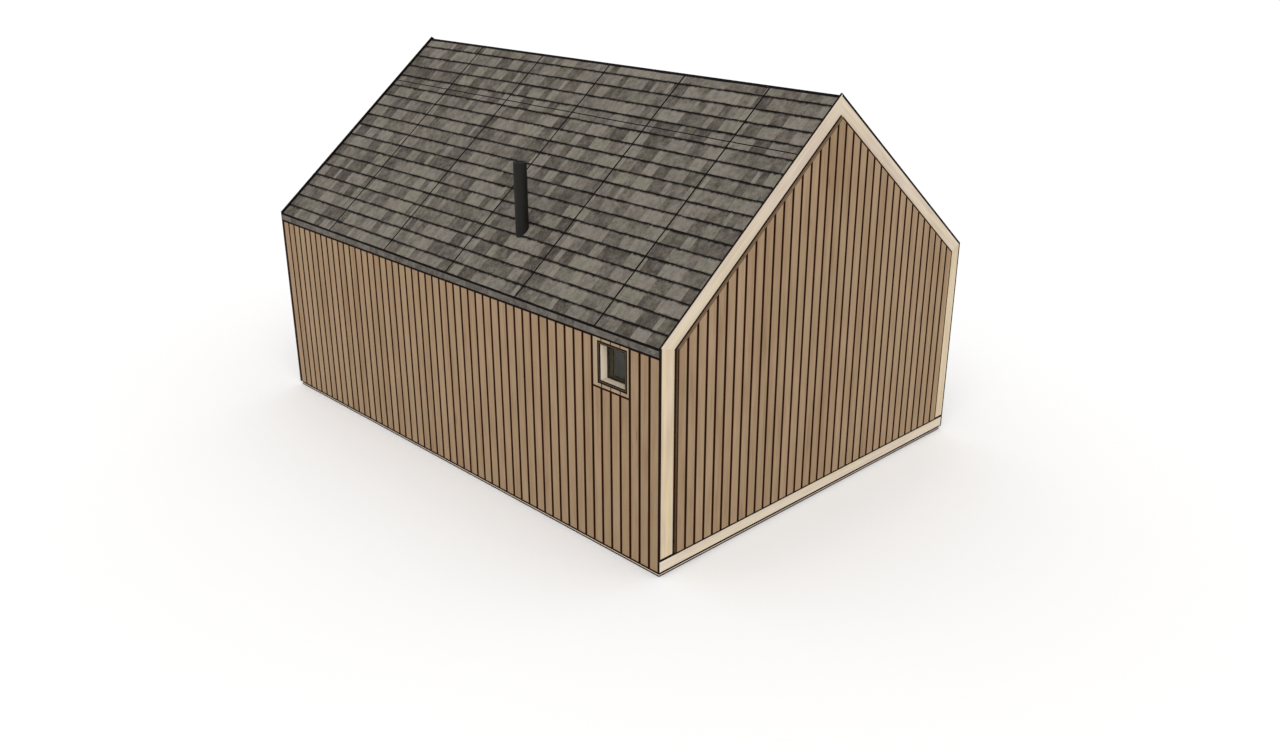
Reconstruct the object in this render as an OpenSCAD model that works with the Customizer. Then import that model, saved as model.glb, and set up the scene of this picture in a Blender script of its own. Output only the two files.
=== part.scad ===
// Outdoor sauna: a gabled timber hut, seven metres by five, that stands on level ground.
// Millimetres. X runs along the ridge, the window wall faces -Y, and Z = 0 is the ground.

/* [Building] */
// Length over the gable trim
building_length = 7000; // [5600:10:9000]
// Width over the cladding of the long walls
building_width = 5060; // [4000:10:6400]
// Height of the roof surface at the eaves, above the ground
eave_height = 2414; // [2250:1:3200]
// Slope of both roof faces, in degrees
roof_pitch = 38.67; // [30:0.01:48]

/* [Walls] */
// Depth of the framed wall, with its sheathing
frame_depth = 151; // [90:1:200]
// Thickness of the boards that line the room
lining_thickness = 19; // [12:1:25]
// Height of the sole plate under every wall
plate_height = 45; // [30:1:60]
// Width of the sole plate
plate_width = 140; // [90:5:200]

/* [Cladding] */
// Thickness of the wall boards
cladding_thickness = 20; // [15:1:25]
// Thickness of the battens that carry the gable boards
batten_thickness = 25; // [18:1:35]
// Width of each batten
batten_width = 45; // [30:5:70]
// Height from one batten to the next
batten_spacing = 600; // [300:10:900]

/* [Gable trim] */
// Thickness of the trim boards
trim_thickness = 19; // [15:1:25]
// Width of the corner boards
corner_board_width = 194; // [120:1:240]
// Height of the bottom board
bottom_board_height = 150; // [100:5:240]
// Width of the rake boards, square to the roof
rake_board_width = 174; // [120:1:240]
// How far the rake boards stand above the shingles, square to the roof
rake_upstand = 18; // [5:1:40]
// Open joint between the corner boards and the gable boards
side_joint = 13; // [5:1:40]
// Open joint between the bottom board and the gable boards
bottom_joint = 20; // [5:1:40]
// Joint between the rake boards and the gable boards
rake_joint = 3; // [1:1:15]

/* [Roof] */
// Thickness of the roof panel, square to the slope
panel_thickness = 68; // [50:1:160]
// Thickness of the shingles, square to the slope
shingle_thickness = 9; // [6:1:15]
// Thickness of the strip on the edge of the eaves
eave_strip_thickness = 9; // [6:1:15]

/* [Window] */
// Width of the opening inside its lining
window_width = 350; // [250:1:700]
// Height of the opening inside its lining
window_height = 377; // [250:1:900]
// Distance from the right-hand corner to the opening
window_from_corner = 481; // [300:1:1500]
// Thickness of the boards that line the opening
window_lining = 26; // [12:1:40]
// Width of the casing on the side of the corner
casing_near = 47; // [20:1:100]
// Width of the casing on the other side
casing_far = 88; // [20:1:120]
// Height of the casing over the opening
casing_head = 34; // [10:1:80]
// Height of the casing under the opening
casing_apron = 60; // [20:1:120]
// Depth from the wall's face to the glass
glass_setback = 97; // [30:1:130]
// Thickness of the sealed glass unit
glass_thickness = 28; // [16:1:44]

/* [Door] */
// Width of the door leaf
door_width = 804; // [650:1:1000]
// Height of the door leaf
door_height = 1994; // [1800:1:2100]
// Thickness of the door leaf
door_thickness = 45; // [35:1:60]
// Depth from the boards' face to the leaf
door_setback = 55; // [50:1:90]
// Thickness of the frame's jambs and head
door_frame = 32; // [20:1:50]
// Height of the threshold
threshold_height = 32; // [20:1:60]
// Gap all round the leaf
door_gap = 3; // [2:1:6]
// How far the stop stands into the opening
stop_projection = 12; // [8:1:20]
// Depth of the stop
stop_depth = 40; // [20:1:60]
// Length of the pull
handle_length = 420; // [200:10:700]
// Thickness of the pull
handle_thickness = 28; // [20:1:36]
// Height of the pull's middle over the threshold
handle_height = 1000; // [800:10:1200]

/* [Flue] */
// Outer diameter of the flue
flue_diameter = 146; // [120:1:220]
// Inner diameter of the flue's liner
flue_bore = 100; // [80:1:140]
// Thickness of the liner
liner_thickness = 3; // [2:1:5]
// Height over the roof surface at the flue's axis
flue_height = 750; // [500:5:1500]
// Length below the ceiling at the flue's axis
flue_drop = 150; // [120:5:400]
// Distance from the right-hand gable to the axis
flue_from_gable = 2722; // [1000:1:3500]
// Distance from the room's face of the window wall to the axis
flue_from_wall = 418; // [250:1:1200]
// Clearance round the flue where it goes through the roof
flue_clearance = 0.3; // [0.1:0.1:0.6]

/* [Hidden] */
$fn = 64;

half_length = building_length / 2;
half_width = building_width / 2;

// Walls, measured from their outer faces
core_depth = frame_depth + lining_thickness;
core_end = half_length - trim_thickness;
core_out = half_width - cladding_thickness;
core_in = core_out - core_depth;
gable_in = core_end - core_depth;

// Roof layers, measured straight up
panel_plumb = panel_thickness / cos(roof_pitch);
shingle_plumb = shingle_thickness / cos(roof_pitch);
rake_plumb = rake_board_width / cos(roof_pitch);
upstand_plumb = rake_upstand / cos(roof_pitch);

// Heights of the roof's layers and of the rake boards' edges at a distance y from the ridge line
function roof_top(y) = eave_height + (half_width - abs(y)) * tan(roof_pitch);
function deck(y) = roof_top(y) - shingle_plumb;
function soffit(y) = deck(y) - panel_plumb;
function rake_top(y) = roof_top(y) + upstand_plumb;
function rake_edge(y) = rake_top(y) - rake_plumb;
function board_top(y) = rake_edge(y) - rake_joint / cos(roof_pitch);

wall_top = soffit(half_width);

// Gable trim and boards
gable_face = half_length - trim_thickness + batten_thickness + cladding_thickness;
corner_inside = half_width - corner_board_width;
boards_inside = corner_inside - side_joint;
trim_foot = plate_height + bottom_board_height;
boards_foot = trim_foot + bottom_joint;
first_batten = boards_foot + 60;

// Window, from the clear opening outwards
window_right = half_length - window_from_corner;
window_left = window_right - window_width;
window_top = wall_top - casing_head - window_lining;
window_foot = window_top - window_height;
hole_left = window_left - window_lining;
hole_right = window_right + window_lining;
hole_foot = window_foot - window_lining;
hole_top = window_top + window_lining;
casing_left = hole_left - casing_far;
casing_right = hole_right + casing_near;
casing_foot = hole_foot - casing_apron;

// Door, in the middle of the left gable
doorway_half = door_width / 2 + door_gap;
doorway_foot = plate_height + threshold_height;
doorway_top = doorway_foot + door_height + 2 * door_gap;
frame_half = doorway_half + door_frame;
frame_top = doorway_top + door_frame;
leaf_face = gable_face - door_setback;
leaf_back = leaf_face - door_thickness;
post_height = 30;
handle_reach = 45;
handle_side = door_width / 2 - 70;

// Flue
flue_x = half_length - flue_from_gable;
flue_y = -(core_in - flue_from_wall);
flue_top = roof_top(flue_y) + flue_height;
flue_foot = soffit(flue_y) - flue_drop;
liner_radius = flue_bore / 2 + liner_thickness;

// A block between two corners
module block(low, high) {
    translate(low) cube(high - low);
}

// An outline in Y and Z, made into a prism from x0 to x1
module prism_x(x0, x1, points) {
    translate([x0, 0, 0])
        rotate([90, 0, 90])
            linear_extrude(height = x1 - x0) polygon(points);
}

// A gable's outline: half its width, its foot, and its heights at the sides and at the ridge
function gable_outline(half, foot, side, top) =
    [[-half, foot], [half, foot], [half, side], [0, top], [-half, side]];

// The space that the door and its frame take up in the left gable
module doorway_block() {
    block([-gable_face - 1, -frame_half, plate_height], [-gable_in + 1, frame_half, frame_top]);
}

// Sole plates

module long_sole_plate() {
    block([-core_end, -core_out, 0], [core_end, -core_out + plate_width, plate_height]);
}

module short_sole_plate() {
    plate_side = core_out - plate_width;
    block([core_end - plate_width, -plate_side, 0], [core_end, plate_side, plate_height]);
}

module front_sole_plate() { color("burlywood") long_sole_plate(); }
module back_sole_plate() { color("burlywood") mirror([0, 1, 0]) long_sole_plate(); }
module right_sole_plate() { color("burlywood") short_sole_plate(); }
module left_sole_plate() { color("burlywood") mirror([1, 0, 0]) short_sole_plate(); }

// Framed walls, with the room's lining boards

module long_wall_run(x0, x1, foot) {
    points = [
        [-core_out, foot], [-core_in, foot],
        [-core_in, soffit(core_in)], [-core_out, soffit(core_out)]
    ];
    prism_x(x0, x1, points);
}

module front_wall_left() {
    color("tan") long_wall_run(-core_end, hole_left, plate_height);
}

module front_wall_right() {
    color("tan") long_wall_run(hole_right, core_end, plate_height);
}

module front_wall_below_window() {
    color("tan") block([hole_left, -core_out, plate_height], [hole_right, -core_in, hole_foot]);
}

module front_wall_over_window() {
    color("tan") long_wall_run(hole_left, hole_right, hole_top);
}

module back_wall() {
    color("tan") mirror([0, 1, 0]) long_wall_run(-core_end, core_end, plate_height);
}

module gable_wall() {
    prism_x(gable_in, core_end, gable_outline(core_in, plate_height, soffit(core_in), soffit(0)));
}

module right_gable_wall() { color("tan") gable_wall(); }

module left_gable_wall() {
    color("tan") difference() {
        mirror([1, 0, 0]) gable_wall();
        doorway_block();
    }
}

// Cladding of the long walls

module cladding_run(x0, x1, top) {
    block([x0, -half_width, plate_height], [x1, -core_out, top]);
}

module front_cladding_left() { color("peru") cladding_run(-core_end, casing_left, wall_top); }
module front_cladding_right() { color("peru") cladding_run(casing_right, core_end, wall_top); }

module front_cladding_below_window() {
    color("peru") cladding_run(casing_left, casing_right, casing_foot);
}

module back_cladding() {
    color("peru") mirror([0, 1, 0]) cladding_run(-core_end, core_end, wall_top);
}

// Cladding of the gables, on battens

module gable_cladding() {
    prism_x(gable_face - cladding_thickness, gable_face,
        gable_outline(boards_inside, boards_foot, board_top(boards_inside), board_top(0)));
}

module right_gable_cladding() { color("peru") gable_cladding(); }

module left_gable_cladding() {
    color("peru") difference() {
        mirror([1, 0, 0]) gable_cladding();
        doorway_block();
    }
}

module gable_battens() {
    intersection() {
        prism_x(core_end, core_end + batten_thickness,
            gable_outline(corner_inside, trim_foot, rake_edge(corner_inside), rake_edge(0)));
        for (z = [first_batten : batten_spacing : rake_edge(0) - 2 * batten_width])
            block([core_end, -half_width, z],
                [core_end + batten_thickness, half_width, z + batten_width]);
    }
}

module right_gable_battens() { color("sienna") gable_battens(); }

module left_gable_battens() {
    color("sienna") difference() {
        mirror([1, 0, 0]) gable_battens();
        doorway_block();
    }
}

// Window

module window_casing() {
    color("peru") difference() {
        block([casing_left, -half_width, casing_foot], [casing_right, -core_out, wall_top]);
        block([hole_left, -half_width - 1, hole_foot], [hole_right, -core_out + 1, hole_top]);
    }
}

module window_frame() {
    color("wheat") difference() {
        block([hole_left, -half_width, hole_foot], [hole_right, -core_in, hole_top]);
        block([window_left, -half_width - 1, window_foot], [window_right, -core_in + 1, window_top]);
    }
}

module window_glass() {
    glass_face = -half_width + glass_setback;
    color("slategray", 0.6)
        block([window_left, glass_face, window_foot],
            [window_right, glass_face + glass_thickness, window_top]);
}

// Gable trim

module bottom_board() {
    block([core_end, -half_width, plate_height], [half_length, half_width, trim_foot]);
}

module corner_board() {
    points = [
        [-half_width, trim_foot], [-corner_inside, trim_foot],
        [-corner_inside, rake_edge(corner_inside)], [-half_width, rake_top(half_width)]
    ];
    prism_x(core_end, half_length, points);
}

module rake_board() {
    points = [
        [-half_width, rake_top(half_width)], [-corner_inside, rake_edge(corner_inside)],
        [0, rake_edge(0)], [0, rake_top(0)]
    ];
    prism_x(core_end, half_length, points);
}

module right_bottom_board() { color("wheat") bottom_board(); }
module right_front_corner_board() { color("wheat") corner_board(); }
module right_back_corner_board() { color("wheat") mirror([0, 1, 0]) corner_board(); }
module right_front_rake_board() { color("wheat") rake_board(); }
module right_back_rake_board() { color("wheat") mirror([0, 1, 0]) rake_board(); }

module left_bottom_board() {
    color("wheat") difference() {
        mirror([1, 0, 0]) bottom_board();
        doorway_block();
    }
}

module left_front_corner_board() { color("wheat") mirror([1, 0, 0]) corner_board(); }

module left_back_corner_board() {
    color("wheat") mirror([1, 0, 0]) mirror([0, 1, 0]) corner_board();
}

module left_front_rake_board() { color("wheat") mirror([1, 0, 0]) rake_board(); }

module left_back_rake_board() {
    color("wheat") mirror([1, 0, 0]) mirror([0, 1, 0]) rake_board();
}

// Roof

module roof_panel() {
    edge = half_width - eave_strip_thickness;
    points = [[-edge, soffit(edge)], [0, soffit(0)], [0, deck(0)], [-edge, deck(edge)]];
    prism_x(-core_end, core_end, points);
}

module shingle_layer() {
    points = [
        [-half_width, deck(half_width)], [0, deck(0)],
        [0, roof_top(0)], [-half_width, eave_height]
    ];
    prism_x(-core_end, core_end, points);
}

module eave_strip() {
    inner = half_width - eave_strip_thickness;
    points = [
        [-half_width, wall_top], [-inner, wall_top],
        [-inner, deck(inner)], [-half_width, deck(half_width)]
    ];
    prism_x(-core_end, core_end, points);
}

module flue_hole() {
    translate([flue_x, flue_y, flue_foot])
        cylinder(h = flue_top - flue_foot, r = flue_diameter / 2 + flue_clearance);
}

module front_roof_panel() {
    color("dimgray") difference() {
        roof_panel();
        flue_hole();
    }
}

module back_roof_panel() { color("dimgray") mirror([0, 1, 0]) roof_panel(); }

module front_shingles() {
    color("gray") difference() {
        shingle_layer();
        flue_hole();
    }
}

module back_shingles() { color("gray") mirror([0, 1, 0]) shingle_layer(); }
module front_eave_strip() { color("gray") eave_strip(); }
module back_eave_strip() { color("gray") mirror([0, 1, 0]) eave_strip(); }

// Flue: an insulated pipe with a thin liner

module tube(outer, inner) {
    translate([flue_x, flue_y, 0])
        difference() {
            translate([0, 0, flue_foot]) cylinder(h = flue_top - flue_foot, r = outer);
            translate([0, 0, flue_foot - 1]) cylinder(h = flue_top - flue_foot + 2, r = inner);
        }
}

module flue_pipe() { color("darkslategray") tube(flue_diameter / 2, liner_radius); }
module flue_liner() { color("black") tube(liner_radius, flue_bore / 2); }

// Door: a plain board leaf in the left gable, shut against its stop

module door_frame_unit() {
    color("wheat") difference() {
        union() {
            difference() {
                block([-gable_face, -frame_half, plate_height], [-gable_in, frame_half, frame_top]);
                block([-gable_face - 1, -doorway_half, 0], [-gable_in + 1, doorway_half, doorway_top]);
            }
            block([-leaf_back, -doorway_half, doorway_foot],
                [-leaf_back + stop_depth, doorway_half, doorway_top]);
        }
        block([-leaf_back - 1, -doorway_half + stop_projection, 0],
            [-leaf_back + stop_depth + 1, doorway_half - stop_projection, doorway_top - stop_projection]);
    }
}

module door_threshold() {
    color("wheat")
        block([-gable_face, -doorway_half, plate_height], [-gable_in, doorway_half, doorway_foot]);
}

module door_leaf() {
    color("peru")
        block([-leaf_face, -door_width / 2, doorway_foot + door_gap],
            [-leaf_back, door_width / 2, doorway_top - door_gap]);
}

module door_handle() {
    middle = doorway_foot + handle_height;
    bar_out = -leaf_face - handle_reach;
    half_bar = handle_length / 2;
    half_thick = handle_thickness / 2;
    color("wheat") {
        block([bar_out, handle_side - half_thick, middle - half_bar],
            [bar_out + handle_thickness, handle_side + half_thick, middle + half_bar]);
        for (z = [-half_bar + 2 * post_height, half_bar - 3 * post_height])
            block([bar_out + handle_thickness, handle_side - half_thick, middle + z],
                [-leaf_face, handle_side + half_thick, middle + z + post_height]);
    }
}

front_sole_plate();
back_sole_plate();
right_sole_plate();
left_sole_plate();
front_wall_left();
front_wall_right();
front_wall_below_window();
front_wall_over_window();
back_wall();
right_gable_wall();
left_gable_wall();
front_cladding_left();
front_cladding_right();
front_cladding_below_window();
back_cladding();
right_gable_cladding();
left_gable_cladding();
right_gable_battens();
left_gable_battens();
window_casing();
window_frame();
window_glass();
right_bottom_board();
right_front_corner_board();
right_back_corner_board();
right_front_rake_board();
right_back_rake_board();
left_bottom_board();
left_front_corner_board();
left_back_corner_board();
left_front_rake_board();
left_back_rake_board();
front_roof_panel();
back_roof_panel();
front_shingles();
back_shingles();
front_eave_strip();
back_eave_strip();
flue_pipe();
flue_liner();
door_frame_unit();
door_threshold();
door_leaf();
door_handle();
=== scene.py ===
# %% [markdown]
# # An outdoor sauna: the looks
#
# The hut is a timber box seven metres long under a steep shingled roof. Its shape is already
# made and comes in as the frame. This lesson dresses that frame: every wall board, shingle and
# trim board becomes a real mesh, and every surface gets a material made of nodes.
#
# Lengths are in metres. X runs along the ridge, the window wall faces -Y and Z = 0 is the ground.

# %% Load the frame
import math
import random

import bmesh
import bpy
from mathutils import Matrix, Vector


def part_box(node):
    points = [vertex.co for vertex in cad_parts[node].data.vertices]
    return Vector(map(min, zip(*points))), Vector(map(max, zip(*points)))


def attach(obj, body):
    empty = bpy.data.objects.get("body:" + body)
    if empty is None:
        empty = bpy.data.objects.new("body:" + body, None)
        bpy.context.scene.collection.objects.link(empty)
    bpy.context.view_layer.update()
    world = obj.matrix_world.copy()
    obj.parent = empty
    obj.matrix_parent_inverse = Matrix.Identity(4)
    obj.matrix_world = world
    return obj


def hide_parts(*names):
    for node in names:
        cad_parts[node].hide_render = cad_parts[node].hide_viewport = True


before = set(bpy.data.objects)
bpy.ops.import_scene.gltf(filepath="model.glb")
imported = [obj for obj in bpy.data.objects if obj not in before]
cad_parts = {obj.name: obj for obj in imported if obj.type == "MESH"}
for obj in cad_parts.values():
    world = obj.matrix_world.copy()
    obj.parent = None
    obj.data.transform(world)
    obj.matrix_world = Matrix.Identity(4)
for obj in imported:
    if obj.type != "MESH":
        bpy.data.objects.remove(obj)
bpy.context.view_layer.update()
print("frame nodes:", len(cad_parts))

# %% [markdown]
# ## Sizes
#
# A looks script could repeat the hut's sizes as numbers. It is safer to read them from the
# frame's own boxes, because then the boards still fit if the frame is made again with another
# length or height. Only the roof's slope is worked out, from the rise of a rake board.

# %% Read the sizes from the frame
trim_low, trim_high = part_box("right_bottom_board")
rake_low, rake_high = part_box("right_back_rake_board")
corner_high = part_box("right_front_corner_board")[1]
shingles_low, shingles_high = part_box("front_shingles")

HALF_WIDTH = trim_high.y
CORE_END = trim_low.x
TRIM_FACE = trim_high.x
SLOPE = (rake_high.z - corner_high.z) / HALF_WIDTH
PITCH = math.atan(SLOPE)
RIDGE = shingles_high.z
ROOF_RUN = HALF_WIDTH / math.cos(PITCH)
print(f"trim to trim {2 * TRIM_FACE:.3f}, width {2 * HALF_WIDTH:.3f}, ridge {RIDGE:.3f}")
print(f"pitch {math.degrees(PITCH):.2f} degrees, slope {ROOF_RUN:.3f} long")

# %% [markdown]
# ## A pile of boards
#
# A wall of boards could be one flat face with painted lines, an array of one board, or many
# meshes. Here each board is its own closed solid, and all the boards of one wall are kept in one
# mesh, which is quick to draw and easy to replace. Every face also remembers three things for
# its material: where it is on its board, which board it is, and how dark it is stained, as real
# stain and as painted shade.

# %% Collect solids and turn them into one piece
GRAIN_MAP = "grain"
GRAIN_APART = 23.0
luck = random.Random(41)


class Pile:
    """Closed solids on one side of the hut that end up in one mesh.

    to_room turns (a, b, depth), a place in a flat layout, into a place in the room.
    """

    def __init__(self, to_room):
        self.to_room = to_room
        self.points = []
        self.faces = []
        self.grain = []
        self.tint = []
        self.shade = []

    def add_solid(self, rings, shades, grain_at, tint):
        """A solid drawn by rings of corners, with shades for its foot, its sides and its top.

        Corners are shared within a solid, and never with the next one.
        """
        corners = {}

        def put(points, shade):
            face = []
            for point in points:
                spot = self.to_room(*point)
                key = tuple(round(value, 7) for value in spot)
                if key not in corners:
                    corners[key] = len(self.points)
                    self.points.append(spot)
                face.append(corners[key])
                self.grain.append(grain_at(*point))
            self.faces.append(face)
            self.tint.append(tint)
            self.shade.append(shade)

        put(rings[-1], shades[-1])
        put(rings[0][::-1], shades[0])
        for i in range(len(rings[0])):
            j = (i + 1) % len(rings[0])
            for lower, upper, shade in zip(rings, rings[1:], shades[1:]):
                put([lower[i], lower[j], upper[j], upper[i]], shade)


def face_outwards(mesh):
    work = bmesh.new()
    work.from_mesh(mesh)
    bmesh.ops.recalc_face_normals(work, faces=work.faces)
    work.to_mesh(mesh)
    work.free()


def put_in_scene(name, data):
    thing = bpy.data.objects.new(name, data)
    bpy.context.scene.collection.objects.link(thing)
    return thing


def hand_over(mesh, name, material, slot, stands_for):
    """Puts a mesh in the scene, gives it a material, hangs it under the root and hides the frame
    parts it stands for.
    """
    piece = put_in_scene(name, mesh)
    mesh.materials.append(material)
    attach(piece, "root")
    if stands_for:
        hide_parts(*stands_for)
    print(f"{name}: {len(mesh.polygons)} faces")


def add_marks(mesh, spots, tints, shades):
    """The grain map, and each face's board number and its stain, which is partly painted shade.
    """
    grain = mesh.uv_layers.new(name=GRAIN_MAP)
    for loop, spot in enumerate(spots):
        grain.data[loop].uv = spot
    for name, values in (("tint", tints), ("shade", shades)):
        mesh.attributes.new(name, "FLOAT", "FACE").data.foreach_set("value", values)


def finish_pile(pile, name, material, slot, *stands_for):
    mesh = bpy.data.meshes.new(name)
    mesh.from_pydata(pile.points, [], pile.faces)
    add_marks(mesh, pile.grain, pile.tint, pile.shade)
    face_outwards(mesh)
    hand_over(mesh, name, material, slot, stands_for)


# %% [markdown]
# A board's edges are eased with a plane or a sander. That small slope catches the light, so each
# board is drawn as an outline, a slightly smaller outline for its face, and the sloped ring
# between them. The outline may have any number of corners, so the same function makes a
# straight board and one whose top is cut to the roof's slope.

# %% One board with eased edges
PLANED = 0.0015
SANDED = 0.0005
CRISP = 0.0002


def shrink(outline, amounts):
    """The convex outline with each side moved inwards by its own amount."""
    lines = []
    for i, (ax, ay) in enumerate(outline):
        bx, by = outline[(i + 1) % len(outline)]
        length = math.hypot(bx - ax, by - ay)
        across = (-(by - ay) / length, (bx - ax) / length)
        lines.append((across, across[0] * ax + across[1] * ay + amounts[i]))
    smaller = []
    for i, (n2, d2) in enumerate(lines):
        n1, d1 = lines[i - 1]
        turn = n1[0] * n2[1] - n1[1] * n2[0]
        smaller.append(((d1 * n2[1] - d2 * n1[1]) / turn, (n1[0] * d2 - n2[0] * d1) / turn))
    return smaller


def other_grain():
    """A shift on the grain map, so that no two boards are cut from the same spot."""
    return (luck.uniform(0, 7), luck.uniform(0, 7))


def add_board(pile, outline, low, high, upright=True, face=0.0, edge=1.0, **other):
    """A board drawn by its outline, counter-clockwise, between two depths.

    Its grain runs along b if it is upright, or else along a. face, edge and slope say how dark
    each is stained, as real stain and as painted shade, and sides gives single sides their own
    width of slope. Each board draws a tint and a shift, even where it is given them, so the
    boards after it keep their look.
    """
    ease = other.get("ease", PLANED)
    drop = other.get("drop", ease)
    slope = other.get("slope", face)
    tint = other.get("tint", luck.random())
    shift = other.get("shift", other_grain())
    sides = other.get("sides", {})
    front = shrink(outline, [sides.get(i, ease) for i in range(len(outline))])
    rings = [
        [(a, b, low) for a, b in outline],
        [(a, b, high - drop) for a, b in outline],
        [(a, b, high) for a, b in front],
    ]

    def grain_at(a, b, depth):
        across, down = (a, b) if upright else (b, a)
        return (across + depth + shift[0], down + shift[1])

    pile.add_solid(rings, (edge, edge, slope, face), grain_at, tint)


def rectangle(a0, a1, b0, b1):
    return [(a0, b0), (a1, b0), (a1, b1), (a0, b1)]


# %% [markdown]
# Each wall is laid out flat, in a plane of its own, and then stood up. These four small
# functions stand it up on the right side of the hut: a and b are the place on the wall, and the
# depth grows outwards.

# %% Stand a flat layout up on a wall


def front_wall(a, b, depth):
    return (a, -depth, b)


def back_wall(a, b, depth):
    return (a, depth, b)


def right_gable(a, b, depth):
    return (depth, a, b)


def left_gable(a, b, depth):
    return (-depth, a, b)


# %% [markdown]
# ## Nodes in plain words
#
# A material is a small recipe of nodes. One helper places a node, sets it and links it. What many
# materials share, such as wood grain, is built once as a node group and then placed in each
# material with its own colours.

# %% Helpers for node trees


def fill(tree, node, sockets):
    """Sets each named socket, or links it where the value is itself a socket."""
    for key, value in sockets.items():
        if isinstance(value, bpy.types.NodeSocket):
            tree.links.new(value, node.inputs[key])
        else:
            node.inputs[key].default_value = value


def place(tree, kind, sockets=None, **settings):
    node = tree.nodes.new("ShaderNode" + kind)
    for key, value in settings.items():
        setattr(node, key, value)
    fill(tree, node, sockets or {})
    return node.outputs


def calculate(tree, operation, *values):
    return place(tree, "Math", dict(enumerate(values)), operation=operation)[0]


def add(tree, a, b):
    return calculate(tree, "ADD", a, b)


def times(tree, a, b):
    return calculate(tree, "MULTIPLY", a, b)


def weigh(tree, *parts):
    """The sum of several values, each with a weight."""
    total = 0.0
    for value, weight in parts:
        total = add(tree, total, times(tree, value, weight))
    return total


def blend_colours(tree, share, a, b):
    return place(tree, "Mix", {0: share, 6: a, 7: b}, data_type="RGBA")[2]


def spread(tree, value, low, high, to_low=0.0, to_high=1.0):
    """Moves a value from one range to another, softly at both ends."""
    sockets = {0: value, 1: low, 2: high, 3: to_low, 4: to_high}
    return place(tree, "MapRange", sockets, interpolation_type="SMOOTHSTEP")[0]


def stretch(tree, spot, scale):
    return place(tree, "VectorMath", {0: spot, 1: scale}, operation="MULTIPLY")[0]


def noise(tree, spot, scale, detail=3.0, roughness=0.55):
    """Noise around zero, stretched by a scale for each direction."""
    sockets = {"Vector": stretch(tree, spot, scale), "Scale": 1.0}
    sockets.update({"Detail": detail, "Roughness": roughness})
    return add(tree, place(tree, "TexNoise", sockets)[0], -0.5)


def principled(name):
    material = bpy.data.materials.new(name)
    material.use_nodes = True
    return material, material.node_tree, material.node_tree.nodes["Principled BSDF"]


def new_group(name):
    """A node group with named inputs that puts out a colour, a roughness and a height."""
    group = bpy.data.node_groups.new(name, "ShaderNodeTree")
    for way, kind, labels in (
        ("INPUT", "Vector", ["Spot"]),
        ("INPUT", "Float", ["Tint", "Contrast"]),
        ("INPUT", "Color", TONES),
        ("OUTPUT", "Color", ["Color"]),
        ("OUTPUT", "Float", ["Roughness", "Height"]),
    ):
        for label in labels:
            group.interface.new_socket(name=label, in_out=way, socket_type=f"NodeSocket{kind}")
    way_in = group.nodes.new("NodeGroupInput").outputs
    return group, way_in, group.nodes.new("NodeGroupOutput")


def use_group(tree, group, spot, tint, contrast, tones):
    """Places a group in a material, with three colours to mix."""
    sockets = {"Spot": spot, "Tint": tint, "Contrast": contrast}
    sockets.update({label: colour(*tone) for label, tone in zip(TONES, tones)})
    return place(tree, "Group", sockets, node_tree=group)


def finish_surface(tree, surface, base, rough, bump, gloss, **others):
    """Links the look of a surface to its shader, with the bump's height, strength and depth."""
    bump = place(tree, "Bump", dict(zip(("Height", "Strength", "Distance"), bump)))[0]
    fill(tree, surface, {"Base Color": base, "Roughness": rough, "Normal": bump})
    fill(tree, surface, {"Specular IOR Level": gloss, **others})


def colour(red, green, blue):
    """A colour as a paint chart gives it, from 0 to 255, made linear for the renderer."""
    linear = []
    for value in (red, green, blue):
        value = value / 255
        linear.append(value / 12.92 if value <= 0.04045 else ((value + 0.055) / 1.055) ** 2.4)
    return (*linear, 1.0)


TONES = ("Dark", "Light", "Second")
# Dark stain for knots and joints, and also painted shade in the grooves and gaps.
DARK_STAIN_AND_SHADE = colour(46, 17, 2)

# %% [markdown]
# ## Wood grain
#
# Softwood has long pale and dark fibres, broader bands from its yearly rings, and now and then a
# knot. They run along the board, so the noise is stretched: fine across the board and slow along
# it. The board's number is the third coordinate, which gives each board other grain. A second
# colour comes in slowly, because no board has one hue from end to end.

# %% The wood grain group


def make_wood_grain():
    group, way_in, way_out = new_group("wood_grain")
    board = way_in["Spot"]
    fibres = noise(group, board, (260.0, 7.0, 31.0), 4.0, 0.65)
    bands = noise(group, board, (34.0, 1.3, 17.0), 3.0, 0.6)
    clouds = noise(group, board, (6.0, 1.7, 9.0), 2.0)
    figure = weigh(group, (fibres, 0.55), (bands, 1.1), (clouds, 0.9))
    share = add(group, times(group, figure, way_in["Contrast"]), way_in["Tint"])
    share = spread(group, share, -0.1, 1.1)
    wood = blend_colours(group, share, way_in["Dark"], way_in["Light"])
    hue = spread(group, noise(group, board, (21.0, 0.9, 5.0), 2.0), -0.12, 0.3, 0.0, 0.75)
    wood = blend_colours(group, hue, wood, way_in["Second"])
    cells = stretch(group, board, (7.5, 1.5, 5.0))
    knot = place(group, "TexVoronoi", {"Vector": cells, "Scale": 1.0})
    chosen = place(group, "SeparateColor", {0: knot["Color"]})[0]
    heart = spread(group, knot["Distance"], 0.05, 0.17, 1.0, 0.0)
    knots = times(group, times(group, heart, spread(group, chosen, 0.86, 0.9)), 0.5)
    wood = blend_colours(group, knots, wood, blend_colours(group, 0.6, wood, DARK_STAIN_AND_SHADE))
    rough = spread(group, fibres, -0.3, 0.3, 0.8, 0.62)
    height = weigh(group, (fibres, 1.0), (bands, 0.6))
    fill(group, way_out, {"Color": wood, "Roughness": rough, "Height": height})
    return group


WOOD_GRAIN = make_wood_grain()
print("node groups:", len(bpy.data.node_groups))

# %% [markdown]
# The boards, the trim and the door are the same wood in other colours. One function makes a wood
# material: it reads the board's map and number, places the grain group, darkens the faces that
# are stained, with real stain and with painted shade, and adds the fibres as a very low bump.

# %% A wood material from the grain group


def face_mark(tree, name):
    return place(tree, "Attribute", attribute_name=name)["Fac"]


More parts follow.
